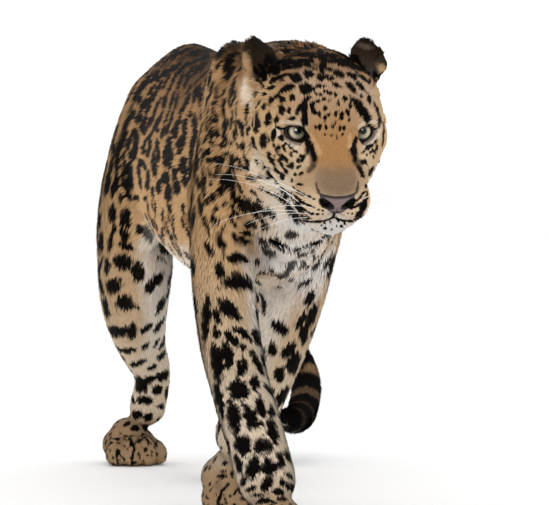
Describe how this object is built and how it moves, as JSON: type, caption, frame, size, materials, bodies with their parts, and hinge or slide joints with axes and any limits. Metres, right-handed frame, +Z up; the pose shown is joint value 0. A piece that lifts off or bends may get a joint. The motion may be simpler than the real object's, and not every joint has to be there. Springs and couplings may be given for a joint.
{
  "type": "leopard",
  "caption": "Life-size still leopard in mid-stride, head lowered and level gaze, long tail hanging and curling aside; it stands on four paw soles.",
  "frame": {"origin": "on the floor, at the middle of the bottom of the bounding box", "axes": "+Z up, the leopard faces -Y, its left side is +X"},
  "size_m": [0.3876, 1.361, 0.6235],
  "materials": {
    "coat": "short spotted fur",
    "pale_coat": "short pale fur",
    "dark_coat": "short dark fur",
    "nose_leather": "damp matt leather",
    "eye": "wet gloss"
  },
  "bodies": {
    "root": {"head": "coat", "nose": "nose_leather", "ear_right": "dark_coat", "ear_left": "dark_coat", "eye_right": "eye", "eye_left": "eye", "neck": "coat", "torso": "coat", "upper_leg_fore_right": "coat", "upper_leg_fore_left": "coat", "upper_leg_hind_right": "coat", "upper_leg_hind_left": "coat", "lower_leg_fore_right": "coat", "lower_leg_fore_left": "coat", "lower_leg_hind_right": "coat", "lower_leg_hind_left": "coat", "paw_fore_right": "pale_coat", "paw_fore_left": "pale_coat", "paw_hind_right": "pale_coat", "paw_hind_left": "pale_coat", "tail_1": "coat", "tail_2": "coat", "tail_3": "coat", "tail_4": "coat", "tail_5": "dark_coat"}
  },
  "joints": []
}
